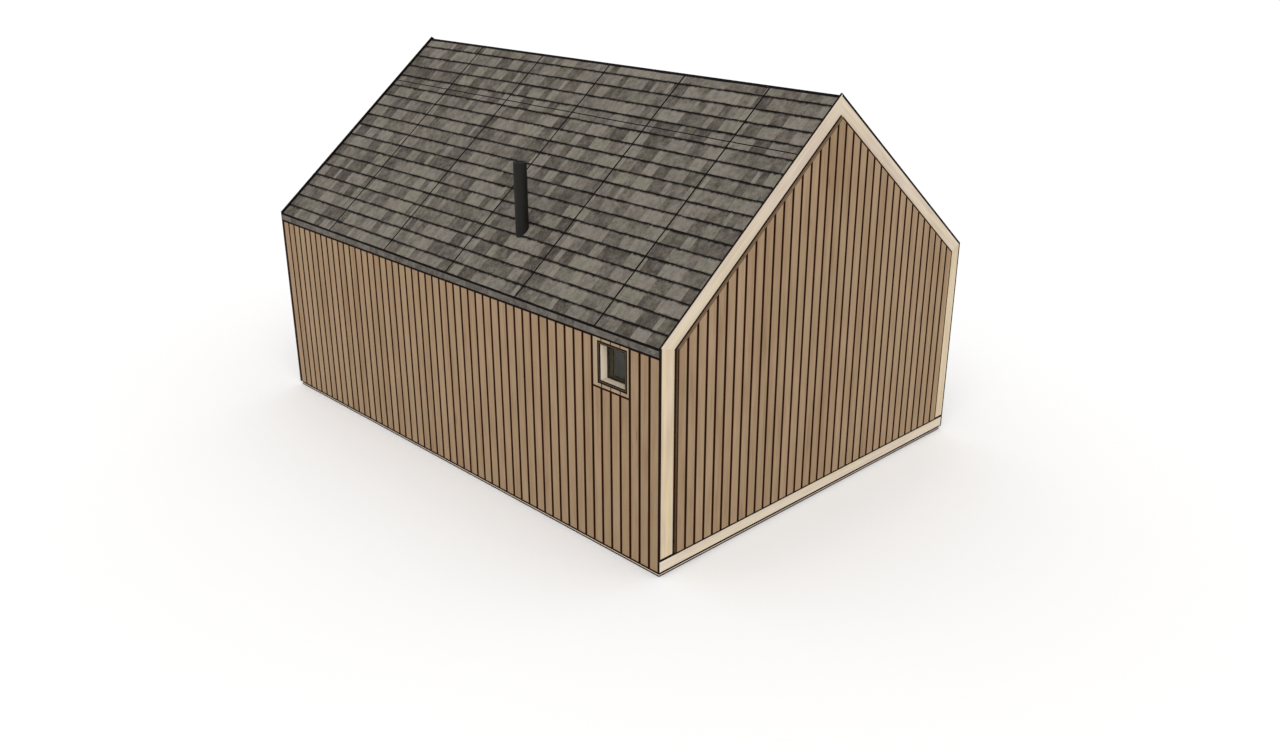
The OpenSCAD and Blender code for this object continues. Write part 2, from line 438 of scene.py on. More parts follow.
def board_spot(tree):
    """Where a point is on its board, with the board's number as the third coordinate."""
    parts = place(tree, "SeparateXYZ", {0: place(tree, "UVMap", uv_map=GRAIN_MAP)[0]})
    tint = face_mark(tree, "tint")
    sockets = {0: parts[0], 1: parts[1], 2: times(tree, tint, GRAIN_APART)}
    return place(tree, "CombineXYZ", sockets)[0], parts[1], tint


def wood_material(name, tones, stain_and_shade=DARK_STAIN_AND_SHADE, variety=0.12):
    """Wood whose boards differ by the variety, and whose stained faces, real stain and painted
    shade, have another colour.
    """
    material, tree, surface = principled(name)
    spot, _, tint = board_spot(tree)
    own = spread(tree, tint, 0.0, 1.0, 0.5 - variety, 0.5 + variety)
    grain = use_group(tree, WOOD_GRAIN, spot, own, 0.7, tones)
    worn = spread(tree, grain["Height"], -0.3, 0.4, 0.0, 0.02)
    stain_and_painted_shade = blend_colours(tree, worn, stain_and_shade, grain["Color"])
    stain_and_painted_shade = blend_colours(tree, face_mark(tree, "shade"), grain["Color"], stain_and_painted_shade)
    bump = (grain["Height"], 0.15, 0.002)
    finish_surface(tree, surface, stain_and_painted_shade, grain["Roughness"], bump, 0.05)
    return material


# Dark stain for the trim's edges, and also painted shade in the gaps behind the trim.
EDGE_STAIN_AND_GAP_SHADE = colour(18, 12, 8)
tones = ((136, 109, 81), (178, 151, 124), (162, 142, 111))
WALL_BOARD = wood_material("wall_board", tones, variety=0.09)
tones = ((146, 124, 98), (182, 161, 137), (168, 152, 122))
CASING_BOARD = wood_material("casing_board", tones)
tones = ((192, 169, 140), (234, 216, 191), (226, 208, 164))
PALE_BOARD = wood_material("pale_board", tones, EDGE_STAIN_AND_GAP_SHADE, 0.05)
tones = ((193, 174, 153), (235, 221, 204), (227, 213, 179))
PALER_BOARD = wood_material("paler_board", tones, EDGE_STAIN_AND_GAP_SHADE, 0.15)
print("wood materials made")

# %% [markdown]
# ## The long walls
#
# The long walls have upright boards, one every 134 mm, and a dark groove between two boards where
# the next one's tongue shows. A groove could be a line in the material, but a real gap shows its
# depth and its shadow from every side, so the boards stand 27 mm apart in front of a thin sheet,
# which plays the part of all the tongues. The sheet is stained near black: painted shade deep in
# the grooves. The boards' eased edges are stained brown. They stop 16 mm above the sole plate, so
# that water drips off them.
#
# They are set out from the window gable: the first groove is 142 mm from its trim's face. The
# strip that is left over at the far end is 12 mm wide, and is stained as dark as the grooves, as
# painted shade beside the trim.

# %% Clad the long walls
BOARD_PITCH = 0.1336
FIRST_GROOVE = 0.142
GROOVE = 0.027
TONGUE_DEPTH = 0.009
FOOT_GAP = 0.016
ODD_STRIP = 0.03
SLIVER = 0.004
TUCK = 0.001
STAND_OFF = 0.002
WALL_EDGE = {"ease": 0.0035, "drop": 0.0015, "slope": 0.8}

groove_count = int((CORE_END + TRIM_FACE - FIRST_GROOVE) / BOARD_PITCH) + 1
grooves = [TRIM_FACE - FIRST_GROOVE - BOARD_PITCH * k for k in range(groove_count)]
casing_low, casing_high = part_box("window_casing")
cladding_low, cladding_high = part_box("front_cladding_left")
CLADDING_BACK = -cladding_high.y


def split(start, end, lines, gap):
    """The runs between two ends that are left when a gap is cut at each line."""
    cuts = sorted(line for line in lines if start - gap / 2 < line < end + gap / 2)
    starts = [start] + [line + gap / 2 for line in cuts]
    ends = [line - gap / 2 for line in cuts] + [end]
    return [(a, b) for a, b in zip(starts, ends) if b - a > SLIVER]


def under_the_window(x):
    return casing_low.z if casing_low.x < x < casing_high.x else cladding_high.z


def clad_long_wall(name, to_room, top_of, *nodes):
    """Sheets stained dark as painted shade in the grooves, and upright boards that are each as
    high as the wall is at their middle.
    """
    pile = Pile(to_room)
    for low, high in map(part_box, nodes):
        # The sheet is stained near black: painted shade that shows in the grooves.
        shade_sheet = rectangle(low.x + TUCK, high.x - TUCK, low.z + TUCK, high.z - TUCK)
        back = min(abs(low.y), abs(high.y))
        add_board(pile, shade_sheet, back, back + TONGUE_DEPTH, face=1.0)
    for start, end in split(-CORE_END, CORE_END, grooves, GROOVE):
        board = rectangle(start, end, cladding_low.z + FOOT_GAP, top_of((start + end) / 2))
        # The strip left over at the end is stained dark, as painted shade beside the trim.
        face = 1.0 if end - start < ODD_STRIP else 0.0
        add_board(pile, board, CLADDING_BACK + STAND_OFF, HALF_WIDTH, face=face, **WALL_EDGE)
    finish_pile(pile, name, WALL_BOARD, "cladding", *nodes)


clad_long_wall(
    "front_wall_boards", front_wall, under_the_window,
    "front_cladding_left", "front_cladding_right", "front_cladding_below_window",
)
clad_long_wall("back_wall_boards", back_wall, lambda x: cladding_high.z, "back_cladding")
print("grooves on a long wall:", len(grooves))

# %% [markdown]
# ## The gables
#
# Each gable has 35 boards between its corner boards. Their tops are cut to the roof's slope, and
# the middle board comes to a point. A boolean could cut them, but the cut is a straight line, so
# each board's outline is simply drawn with its sloping top. Strips 15 mm wide close the outer
# sides and the tops against rain and insects. Their dark stain is painted shade, as in a gap
# beside the trim, and their edges are stained more thinly, as painted shade on a board's side.
# The sloping one at the front is painted brown instead of dark, as wood in shade.
#
# The far gable has the door. A board over the door starts at the top of its frame, and a board
# that the frame's side would cut is made of two parts with the same grain.

# %% Clad the gables
GABLE_BOARDS = 35
CAP = 0.015
CAP_PLUMB = CAP / math.cos(PITCH)
# Painted shade: the stain on the strips' edges, and on the front sloping strip's face.
UPRIGHT_EDGE = 0.75
SLOPING_EDGE = 0.6
FRONT_CAP_SHADE = 0.55
gable_low, gable_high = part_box("right_gable_cladding")
doorway_low, doorway_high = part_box("door_frame_unit")
half_door = doorway_high.y


def board_top(a, lower=0.0):
    return gable_high.z - abs(a) * SLOPE - lower


def gable_outline(a0, a1, foot):
    """An upright board with its top cut to the slope, under the sloping strip."""
    middle = [0.0] if a0 < 0 < a1 else []
    tops = [(a, board_top(a, CAP_PLUMB)) for a in (a1, *middle, a0)]
    return [(a0, foot), (a1, foot), *tops]


def clad_gable(name, to_room, doorway=None):
    """Gable boards, around a doorway if there is one."""
    pile = Pile(to_room)
    back, front, foot = gable_low.x, gable_high.x, gable_low.z
    outer = gable_high.y
    inner = outer - CAP
    half, head = doorway or (0.0, foot)
    for edge, cap_shade in ((-1, FRONT_CAP_SHADE), (1, 1.0)):
        tops = [(edge * inner, board_top(inner)), (edge * outer, board_top(outer))]
        upright = [(edge * outer, foot), (edge * inner, foot), *tops]
        ridge = [(0.0, board_top(0.0, CAP_PLUMB)), (0.0, board_top(0.0))]
        sloping = [(edge * inner, board_top(inner, CAP_PLUMB)), *ridge, tops[0]]
        for strip, face, thin in ((upright, 1.0, UPRIGHT_EDGE), (sloping, cap_shade, SLOPING_EDGE)):
            add_board(pile, strip[::-edge], back, front, True, face, thin, ease=SANDED)
    pitch = 2 * outer / GABLE_BOARDS
    for k in range(GABLE_BOARDS):
        a0 = -outer + k * pitch + (GROOVE / 2 if k else CAP)
        a1 = -outer + (k + 1) * pitch - (GROOVE / 2 if k < GABLE_BOARDS - 1 else CAP)
        look = {"tint": luck.random(), "shift": other_grain(), **WALL_EDGE}
        whole = doorway is None or a1 <= -half or a0 >= half
        outlines = [gable_outline(a0, a1, foot if whole else head)]
        if not whole:
            stubs = [(b0, b1) for b0, b1 in ((a0, -half), (half, a1)) if b1 - b0 > SLIVER]
            outlines += [rectangle(b0, b1, foot, head) for b0, b1 in stubs]
        for outline in outlines:
            add_board(pile, outline, back + STAND_OFF, front, **look)
    # Dark sheets behind the gable boards show in the gaps as painted shade.
    shade_sheets = [(-inner, inner, foot)]
    if doorway:
        shade_sheets = [(-inner, -half, foot), (-half, half, head), (half, inner, foot)]
    for a0, a1, b in shade_sheets:
        shade_sheet = gable_outline(a0, a1, b + TUCK)
        add_board(pile, shade_sheet, back, back + TONGUE_DEPTH, face=1.0)
    finish_pile(pile, f"{name}_boards", WALL_BOARD, "cladding", f"{name}_cladding")


clad_gable("right_gable", right_gable)
clad_gable("left_gable", left_gable, (half_door, doorway_high.z))

# %% [markdown]
# ## The pale trim
#
# Pale boards frame each gable: one along the foot, one at each corner and one up each slope. The
# corner boards have yellowed a little more than the others. Their edges are stained dark and
# only their faces are pale, which gives the frame a fine dark outline. It is widest round the
# outside and at the back of the hut, which gets the weather. Thin gaps part the foot board from
# the sole plate and the corner boards, but the rake boards fit tight. The grain of a rake board
# follows the slope, so its outline is drawn with a along the slope and then turned into place.

# %% Frame the gables
TRIM_EDGE = {"ease": 0.008, "drop": 0.002, "slope": 1.0}
FOOT_TOP = 0.018
OUTER_EDGE = {"front": 0.018, "back": 0.026}
RAKE_TOP = {"front": 0.006, "back": 0.026}
RAKE_FOOT = {"front": 0.012, "back": 0.008}
FOOT_TINT = 1.0
RAKE_TINT = 0.5
TRIM_GAP = 0.01
THIN = 0.004
OUTER, INNER = -HALF_WIDTH, corner_high.y
RAKE_PLUMB = rake_high.z - (rake_low.z - INNER * SLOPE)


def rake_top(a):
    return rake_high.z - abs(a) * SLOPE


def rake_edge(a):
    return rake_top(a) - RAKE_PLUMB


def up_the_slope(to_room, side):
    """Turns a layout along the rake into a layout on the gable."""
    cosine, sine = math.cos(PITCH), math.sin(PITCH)

    def turned(along, across, depth):
        a = side * (along * cosine - across * sine - HALF_WIDTH)
        return to_room(a, along * sine + across * cosine, depth)

    def back_again(a, b):
        a = HALF_WIDTH - abs(a)
        return (a * cosine + b * sine, b * cosine - a * sine)

    return turned, back_again


def frame_gable(name, to_room, foot_runs):
    """The five trim boards of one gable, each as its own piece."""
    back, front = CORE_END, TRIM_FACE
    pile = Pile(to_room)
    for a0, a1 in foot_runs:
        # A dark strip behind the foot board shows in the gap under it: painted shade.
        strip = rectangle(a0 + TUCK, a1 - TUCK, trim_low.z, trim_high.z)
        add_board(pile, strip, back, front - THIN, False, 1.0, ease=CRISP)
        outline = rectangle(a0, a1, trim_low.z + TRIM_GAP, trim_high.z)
        far_end = OUTER_EDGE["back"] if a1 == HALF_WIDTH else TRIM_EDGE["ease"]
        look = {"sides": {1: far_end, 2: FOOT_TOP}, "tint": FOOT_TINT, **TRIM_EDGE}
        add_board(pile, outline, back + TUCK, front, False, **look)
    finish_pile(pile, f"{name}_foot_trim", PALER_BOARD, "trim", f"{name}_bottom_board")
    for word, side in (("front", 1), ("back", -1)):
        def mirrored(a, b, depth, side=side):
            return to_room(side * a, b, depth)

        pile = Pile(mirrored)
        # A dark strip behind the corner board shows in the gap over the foot board: painted
        # shade.
        outline = [(OUTER, trim_high.z), (INNER, trim_high.z)]
        outline += [(INNER, rake_edge(INNER)), (OUTER, rake_top(OUTER))]
        add_board(pile, outline, back, back + THIN, True, 1.0, ease=CRISP)
        above = [(a, max(b, trim_high.z + THIN)) for a, b in outline]
        look = {"sides": {2: 0.0, 3: OUTER_EDGE[word]}, **TRIM_EDGE}
        add_board(pile, above, back + TUCK, front, **look)
        node = f"{name}_{word}_corner"
        finish_pile(pile, f"{node}_trim", PALE_BOARD, "trim", f"{node}_board")
        turned, back_again = up_the_slope(to_room, side)
        pile = Pile(turned)
        outline = [(OUTER, rake_top(OUTER)), (INNER, rake_edge(INNER))]
        outline += [(0.0, rake_edge(0.0)), (0.0, rake_top(0.0))]
        outline = [back_again(a, b) for a, b in outline]
        sides = {0: 0.0, 1: RAKE_FOOT[word], 2: 0.0, 3: RAKE_TOP[word]}
        look = {"sides": sides, "tint": RAKE_TINT, **TRIM_EDGE}
        add_board(pile, outline, back, front, False, **look)
        node = f"{name}_{word}_rake"
        finish_pile(pile, f"{node}_trim", PALER_BOARD, "trim", f"{node}_board")


frame_gable("right", right_gable, [(-HALF_WIDTH, HALF_WIDTH)])
frame_gable("left", left_gable, [(-HALF_WIDTH, -half_door), (half_door, HALF_WIDTH)])

# %% [markdown]
# ## The window
#
# The small window has a casing on the wall, a pale lining through the wall and a sealed glass
# unit set well back in it. The casing is flush with the boards: a narrow band near the corner, a
# wide band on the other side, and short pieces over and under the lining that carry the wall's
# grooves across it. It could be one board with a square hole, but separate bands have the joints
# of a real casing, and each keeps its own grain.

# %% Case the window
LINE_GAP = 0.018
CASING_GROOVE = 0.012
lining_low, lining_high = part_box("window_frame")
glass_low, glass_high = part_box("window_glass")

pile = Pile(front_wall)
x0, x1, z0, z1 = casing_low.x, casing_high.x, casing_low.z, casing_high.z
left, right, foot, head = lining_low.x, lining_high.x, lining_low.z, lining_high.z
back, front = -casing_high.y, -casing_low.y
# Dark sheets behind the casing show in the gaps round its bands: painted shade.
shade_sheets = [(x0, x1, z0, foot), (x0, x1, head, z1), (x0, left, foot, head), (right, x1, foot, head)]
for shade_sheet in shade_sheets:
    add_board(pile, rectangle(*shade_sheet), back, back + TONGUE_DEPTH, face=1.0)
left, right = left - LINE_GAP / 2, right + LINE_GAP / 2
foot, head = foot - LINE_GAP / 2, head + LINE_GAP / 2
x0, x1, z0 = x0 + LINE_GAP, x1 - LINE_GAP, z0 + LINE_GAP
bands = [(x0, left, z0, z1), (right, x1, z0, z1)]
for start, end in split(left, right, grooves, CASING_GROOVE):
    bands += [(start, end, z0, foot), (start, end, head, z1)]
for band in bands:
    add_board(pile, rectangle(*band), back + STAND_OFF, front)
finish_pile(pile, "window_casing_boards", CASING_BOARD, "cladding", "window_casing")

# %% [markdown]
# The lining's edge would show as a plain pale strip. It is closed with a dark seal, and a slim
# bead, stained brown, runs round on top of it, so the opening has a dark frame. The lining is
# stained dark at both ends, and its sill is painted greyer, as shade. A face has only one stain,
# so each part of the lining is cut into three along its depth. The bead is 6 mm wide, flush with
# the wall.

# %% Line the opening
# The lining's colours are near white: painted light against the shade deep in the opening.
tones = ((240, 222, 198), (254, 240, 220), (248, 233, 207))
LINING_BOARD = wood_material("lining_board", tones, colour(22, 15, 9))
BEAD = 0.006
BEAD_STAIN = 0.7
DARK_END = 0.008
# Painted shade on the sill: how far its sides are stained greyer than the jambs.
SILL_SHADE = 0.35
SEAL = 0.004
OVERLAP = 0.0005


def ring(gap, width):
    """Four parts around the glass, a gap away from it, and whether their grain is upright."""
    x0, x1 = glass_low.x - gap, glass_high.x + gap
    z0, z1 = glass_low.z - gap, glass_high.z + gap
    return [
        (rectangle(x0 - width, x0, z0, z1), True),
        (rectangle(x1, x1 + width, z0, z1), True),
        (rectangle(x0 - width, x1 + width, z0 - width, z0), False),
        (rectangle(x0 - width, x1 + width, z1, z1 + width), False),
    ]


back, front = -lining_high.y, -lining_low.y
thickness = glass_low.x - lining_low.x
depths = (back, back + DARK_END, front - SEAL - DARK_END, front - SEAL)
pile = Pile(front_wall)
# The sill's sides get painted shade.
for (part, upright), side_shade in zip(ring(0.0, thickness), (0.0, 0.0, SILL_SHADE, 0.0)):
    for low, high, edge in zip(depths, depths[1:], (1.0, side_shade, 1.0)):
        add_board(pile, part, low, high, upright, 1.0, edge, ease=SANDED)
finish_pile(pile, "window_lining", LINING_BOARD, "trim", "window_frame")

pile = Pile(front_wall)
for part, upright in ring((thickness - BEAD) / 2, BEAD):
    add_board(pile, part, front - SEAL - OVERLAP, front, upright, BEAD_STAIN)
finish_pile(pile, "window_bead", CASING_BOARD, "trim")

# %% [markdown]
# The glass is a sealed unit: two thin panes with a dark spacer bar between them all round. One
# thick block of glass would bend the view like a lens, so each pane is its own 4 mm sheet. The
# glass has a grey tint, and a little dust makes its gloss uneven.

# %% Glaze the window
PANE = 0.004
BAR = 0.012
BAR_EDGE = 0.001
CLEAR = 0.0002


def two_tones(tree, dark, light, coarse, fine, weight, reach=0.35):
    """Clouds of two colours by place in the room, and the two noises that mix them."""
    spot = place(tree, "TexCoord")["Object"]
    clouds, grains = noise(tree, spot, *coarse), noise(tree, spot, *fine)
    share = spread(tree, weigh(tree, (clouds, 1.0), (grains, weight)), -reach, reach)
    return blend_colours(tree, share, colour(*dark), colour(*light)), clouds, grains


def make_glass():
    material, tree, surface = principled("tinted_glass")
    dust, streaks = ((9.0, 9.0, 6.0), 4.0, 0.6), ((40.0, 40.0, 3.0), 2.0)
    base, dust, _ = two_tones(tree, (208, 205, 190), (218, 215, 200), dust, streaks, 1.0, 0.3)
    fill(tree, surface, {"Base Color": base, "Transmission Weight": 1.0, "IOR": 1.27})
    fill(tree, surface, {"Roughness": spread(tree, dust, -0.2, 0.4, 0.01, 0.06)})
    return material


def make_plain(name, dark, light, scale, matt=(0.55, 0.8), strength=0.1):
    """A painted or moulded surface: soft clouds of two colours and a fine bump."""
    material, tree, surface = principled(name)
    coarse, fine = ((scale,) * 3, 4.0, 0.6), ((scale * 30,) * 3, 2.0)
    base, clouds, grains = two_tones(tree, dark, light, coarse, fine, 0.5)
    rough = spread(tree, clouds, -0.3, 0.3, *matt)
    finish_surface(tree, surface, base, rough, (grains, strength, 0.0005), 0.1)
    return material


GLASS = make_glass()
SPACER = make_plain("spacer_bar", (30, 30, 30), (42, 42, 40), 20.0)

outer, inner = -glass_low.y, -glass_high.y
opening = rectangle(glass_low.x, glass_high.x, glass_low.z, glass_high.z)
pile = Pile(front_wall)
for face in (outer, inner + PANE):
    add_board(pile, opening, face - PANE, face, edge=0.0, ease=SANDED)
finish_pile(pile, "window_panes", GLASS, "window_glass", "window_glass")

pile = Pile(front_wall)
for bar, _ in ring(-BAR, BAR):
    add_board(pile, bar, inner + PANE + CLEAR, outer - PANE - CLEAR, ease=BAR_EDGE)
finish_pile(pile, "window_spacer_bars", SPACER, "window_glass")

# %% [markdown]
# ## Shingle granules
#
# Roof shingles are felt coated with crushed stone. From a few steps away they are a mix of
# greys: some tabs lean to purple, some to olive, some are paler. Close to, each is a speckle of
# grains. The courses are 183 mm apart. Each starts in a soft dark band and darkens softly towards
# its lower edge: painted shadow along every butt line, partly like the darker stone a maker puts
# there to look like a shadow.
#
# The group gets the tab's number for its tone, and noise at three sizes for the speckle. The
# number is folded into a second one, so that tone and hue don't change together.

# %% The shingle group
COURSE = 0.1828


def make_shingle_group():
    group, way_in, way_out = new_group("stone_granules")
    tab, tint = way_in["Spot"], way_in["Tint"]
    clouds = noise(group, tab, (14.0, 11.0, 3.0), 3.0, 0.6)
    flecks = noise(group, tab, (75.0, 60.0, 3.0), 3.0, 0.7)
    granules = noise(group, tab, (420.0, 420.0, 3.0), 2.0, 0.8)
    speckle = weigh(group, (clouds, 1.3), (flecks, 1.2), (granules, 0.6))
    share = weigh(group, (tint, 0.6), (1.0, 0.16), (speckle, way_in["Contrast"]))
    share = spread(group, share, -0.1, 1.0)
    stone = blend_colours(group, share, way_in["Dark"], way_in["Light"])
    second = calculate(group, "FRACT", times(group, tint, 17.0))
    other = blend_colours(group, share, way_in["Dark"], way_in["Second"])
    stone = blend_colours(group, spread(group, second, 0.5, 0.95, 0.0, 0.55), stone, other)
    rough = spread(group, granules, -0.3, 0.3, 0.8, 0.97)
    height = weigh(group, (granules, 1.0), (flecks, 0.7))
    fill(group, way_out, {"Color": stone, "Roughness": rough, "Height": height})
    return group


STONE_GRANULES = make_shingle_group()


def make_shingle(name, tones, bands=False):
    """A shingle material, with a soft band of painted shadow at both ends of each course if it
    has bands.
    """
    material, tree, surface = principled(name)
    spot, down, tint = board_spot(tree)
    stone = use_group(tree, STONE_GRANULES, spot, tint, 0.75, tones)
    # Dark faces, and with bands the painted shadow along each butt line, take the near black
    # colour.
    dark_print_and_shade = face_mark(tree, "shade")
    if bands:
        # Painted shadow: a band under the butt above, and a lighter one at the tab's own lower
        # edge.
        wavy = noise(tree, spot, (15.0, 0.0, 1.0), 3.0, 0.7)
        down = add(tree, down, times(tree, wavy, 0.055))
        top = spread(tree, down, 0.006, 0.036, 1.0, 0.0)
        foot = spread(tree, down, COURSE - 0.016, COURSE + 0.004, 0.0, 0.6)
        dark_print_and_shade = calculate(tree, "MAXIMUM", calculate(tree, "MAXIMUM", dark_print_and_shade, top), foot)
    shingle = blend_colours(tree, dark_print_and_shade, stone["Color"], colour(14, 11, 8))
    bump = (stone["Height"], 0.35, 0.0015)
    finish_surface(tree, surface, shingle, stone["Roughness"], bump, 0.1)
    return material


tones = ((62, 56, 50), (134, 127, 118), (132, 129, 111))
SHINGLE = make_shingle("roof_shingle", tones, bands=True)
tones = ((55, 50, 45), (129, 122, 115), (124, 121, 110))
EAVE_STONE = make_shingle("eave_strip", tones)
FELT = make_plain("roofing_felt", (5, 4, 3), (12, 10, 8), 14.0, (0.8, 0.95), 0.4)
print("roof materials made, node groups:", len(bpy.data.node_groups))

# %% [markdown]
# ## Lay the roof
#
# The shingles come in even courses, and each course covers the top of the one below. A tab is
# therefore a thin wedge: it starts low, under the course above, and its lower edge stands proud
# by the thickness of the felt. Tabs are between 55 and 270 mm wide, and a third of them lie a
# little lower than the others. Pale and dark ones mostly take turns, the way a roofer mixes
# bundles so that no large patch of one tone forms. A flat roof with a bump would be quicker, but
# wedges cast real shadows and look right from every side.
#
# The roof comes in sheets 1.22 m wide, so five straight seams run down each slope and one runs
# along it. A seam is a real gap here, with dark felt under it. A strip of the same felt is
# folded over the ridge, and one shows along the verge of the door gable.

# %% Shape one tab
STEP = 0.0035
TABS_APART = 50
SEAM = 0.022
LONG_SEAM = 0.795
LONG_GAP = 0.014
SHEETS_LONG = 5.667
ROOF_INSET = 0.07
FIRST_SEAM = 0.911
SHEET = (2 * TRIM_FACE - ROOF_INSET) / SHEETS_LONG
sheet_seams = [TRIM_FACE - FIRST_SEAM - SHEET * k for k in range(5)]
LAYER_FOOT = -0.0062
FELT_FACE = -0.0056
FELT_BACK = -0.0088
print(f"roof sheets {SHEET:.3f} long, seams at x", [round(x, 3) for x in sheet_seams])


def front_slope(x, run, height):
    """A place on the front slope: along it, down from the ridge, and out of its surface."""
    y = run * math.cos(PITCH)
    return (x, -y, RIDGE - y * SLOPE + height / math.cos(PITCH))


def back_slope(x, run, height):
    x, y, z = front_slope(x, run, height)
    return (x, -y, z)


def add_tab(pile, x0, x1, run0, run1, course_top, lift, tint):
    """A wedge from run0 to run1, whose top rises by STEP over one course."""

    def top(run):
        return lift + STEP * min(0.0, (run - course_top) / COURSE - 1.0)

    corners = rectangle(x0, x1, run0, run1)
    rings = [
        [(x, run, LAYER_FOOT) for x, run in corners],
        [(x, run, top(run)) for x, run in corners],
    ]

    def grain_at(x, run, height):
        return (x + TABS_APART * tint, run - course_top)

    pile.add_solid(rings, (1.0, 1.0, 0.0), grain_at, tint)


# %% [markdown]
# The flue comes up through the front slope. Its wall is 23 mm thick, so a square hole whose
# corners end inside that wall can't be seen, and is much simpler to cut than a round one. Each
# tab that reaches the hole is cut into the parts around it.

# %% Lay the courses
FIRST_BUTT = 0.142
RIDGE_STRIP = 0.034
VERGE_STRIP = 0.02
EAVE_LIP = 0.018
UNDERLAP = 0.0035
SUNK = 0.0018
SUNK_SHARE = 0.35
WOBBLE = 0.003
SAME_AGAIN = 0.25
PALE_TINTS = (0.5, 0.9)
DARK_TINTS = (0.06, 0.46)
NARROW_TINTS = (0.75, 1.0)
NARROW = 0.08
TAB_KINDS = ((0.26, 0.055, NARROW), (0.4, 0.09, 0.14), (1.0, 0.15, 0.27))
EMPTY = 0.0001
HOLE_SIDE = 0.0512
HOLE_RUN = HOLE_SIDE / math.cos(PITCH)

pipe_low, pipe_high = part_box("flue_pipe")
FLUE_X = (pipe_low.x + pipe_high.x) / 2
FLUE_Y = (pipe_low.y + pipe_high.y) / 2
flue_run = -FLUE_Y / math.cos(PITCH)
hole = (FLUE_X - HOLE_SIDE, FLUE_X + HOLE_SIDE, flue_run - HOLE_RUN, flue_run + HOLE_RUN)


def around(part, holes):
    """The parts of a rectangle that lie outside a hole, if there is one."""
    x0, x1, r0, r1 = part
    for h0, h1, g0, g1 in holes:
        if x1 > h0 and x0 < h1 and r1 > g0 and r0 < g1:
            left, right = max(x0, h0), min(x1, h1)
            top, bottom = max(r0, g0), min(r1, g1)
            parts = [(x0, left, r0, r1), (right, x1, r0, r1)]
            parts += [(left, right, r0, top), (left, right, bottom, r1)]
            return [p for p in parts if p[1] - p[0] > EMPTY and p[3] - p[2] > EMPTY]
    return [part]


def tab_widths(total):
    """Widths of tabs that fill a length: mostly wide ones, some narrow."""
    widths = []
    while sum(widths) < total:
        share = luck.random()
        low, high = next(kind[1:] for kind in TAB_KINDS if share < kind[0])
        widths.append(luck.uniform(low, high))
    widths[-1] -= sum(widths) - total
    return widths


def lay_courses(pile, holes):
    whole = math.ceil((ROOF_RUN - 0.5 * COURSE - FIRST_BUTT) / COURSE)
    butts = [FIRST_BUTT + COURSE * k for k in range(whole)] + [ROOF_RUN - EAVE_LIP]
    for k, butt in enumerate(butts):
        course_top = butts[k - 1] if k else FIRST_BUTT - COURSE
        start = course_top - UNDERLAP if k else RIDGE_STRIP
        x = VERGE_STRIP - CORE_END
        pale = True
        for width in tab_widths(2 * CORE_END - VERGE_STRIP):
            pale = pale if luck.random() < SAME_AGAIN else not pale
            tint = luck.uniform(*(PALE_TINTS if pale else DARK_TINTS))
            if width < NARROW:
                tint = luck.uniform(*NARROW_TINTS)
            lift = -SUNK if luck.random() < SUNK_SHARE else 0.0
            end = butt + (luck.uniform(-WOBBLE, WOBBLE) if k < len(butts) - 1 else 0.0)
            for x0, x1 in split(x, x + width, sheet_seams, SEAM):
                for r0, r1 in split(start, end, [LONG_SEAM], LONG_GAP):
                    for part in around((x0, x1, r0, r1), holes):
                        add_tab(pile, *part, course_top, lift, tint)
            x += width
    return len(butts)


for word, to_room, holes in (("front", front_slope, [hole]), ("back", back_slope, [])):
    pile = Pile(to_room)
    courses = lay_courses(pile, holes)
    finish_pile(pile, f"{word}_slope_shingles", SHINGLE, "shingles", f"{word}_shingles")
    pile = Pile(to_room)
    strip = rectangle(-CORE_END, CORE_END, 0.0, RIDGE_STRIP)
    add_board(pile, strip, LAYER_FOOT, 0.0, face=1.0, ease=CRISP)
    for part in around((-CORE_END, CORE_END, 0.0, ROOF_RUN), holes):
        add_board(pile, rectangle(*part), FELT_BACK, FELT_FACE, face=1.0, ease=CRISP)
    finish_pile(pile, f"{word}_slope_felt", FELT, "shingles")
print("courses on a slope:", courses)

# %% [markdown]
# ## The eave strips
#
# Under the shingles' lower edge a strip of the same coated felt stands upright, and a gap under
# it keeps the water off the boards. It could be one long box. Lengths that butt tight and differ
# a little in tone look more like a roofer's work, and the functions for them are already here.

# %% Finish the eaves
DRIP_GAP = 0.022
for word, to_room in (("front", front_wall), ("back", back_wall)):
    low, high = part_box(f"{word}_eave_strip")
    back, front = sorted((abs(low.y), abs(high.y)))
    pile = Pile(to_room)
    # A dark sheet behind the lengths shows in the gap under them: painted shade.
    shade_sheet = rectangle(low.x, high.x, low.z, shingles_low.z)
    add_board(pile, shade_sheet, back, back + THIN, face=1.0, ease=CRISP)
    x = low.x
    for width in tab_widths(high.x - low.x):
        length = rectangle(x, x + width, low.z + DRIP_GAP, shingles_low.z)
        look = {"tint": luck.uniform(0.3, 0.7), "ease": CRISP}
        add_board(pile, length, back + STAND_OFF, front, False, **look)
        x += width
    finish_pile(pile, f"{word}_eave_lengths", EAVE_STONE, "shingles", f"{word}_eave_strip")

# %% [markdown]
# ## The flue
#
# The flue is an insulated steel pipe, painted matt black outside, with a bare liner inside. It
# could be a cylinder with a hole cut by a boolean. Here half of its section is drawn and swept
# round its axis instead: the rims are rounded in the section, so it needs no bevel, and angles
# sharper than 40 degrees stay crisp.

# %% Turn the pipe and its liner
TURN_STEPS = 96
RIM_STEPS = 5
CRISP_ANGLE = math.radians(40)
LINER_WALL = 0.003
LINER_DROP = 0.002
PIPE_ROUND = 0.004
LINER_ROUND = 0.001


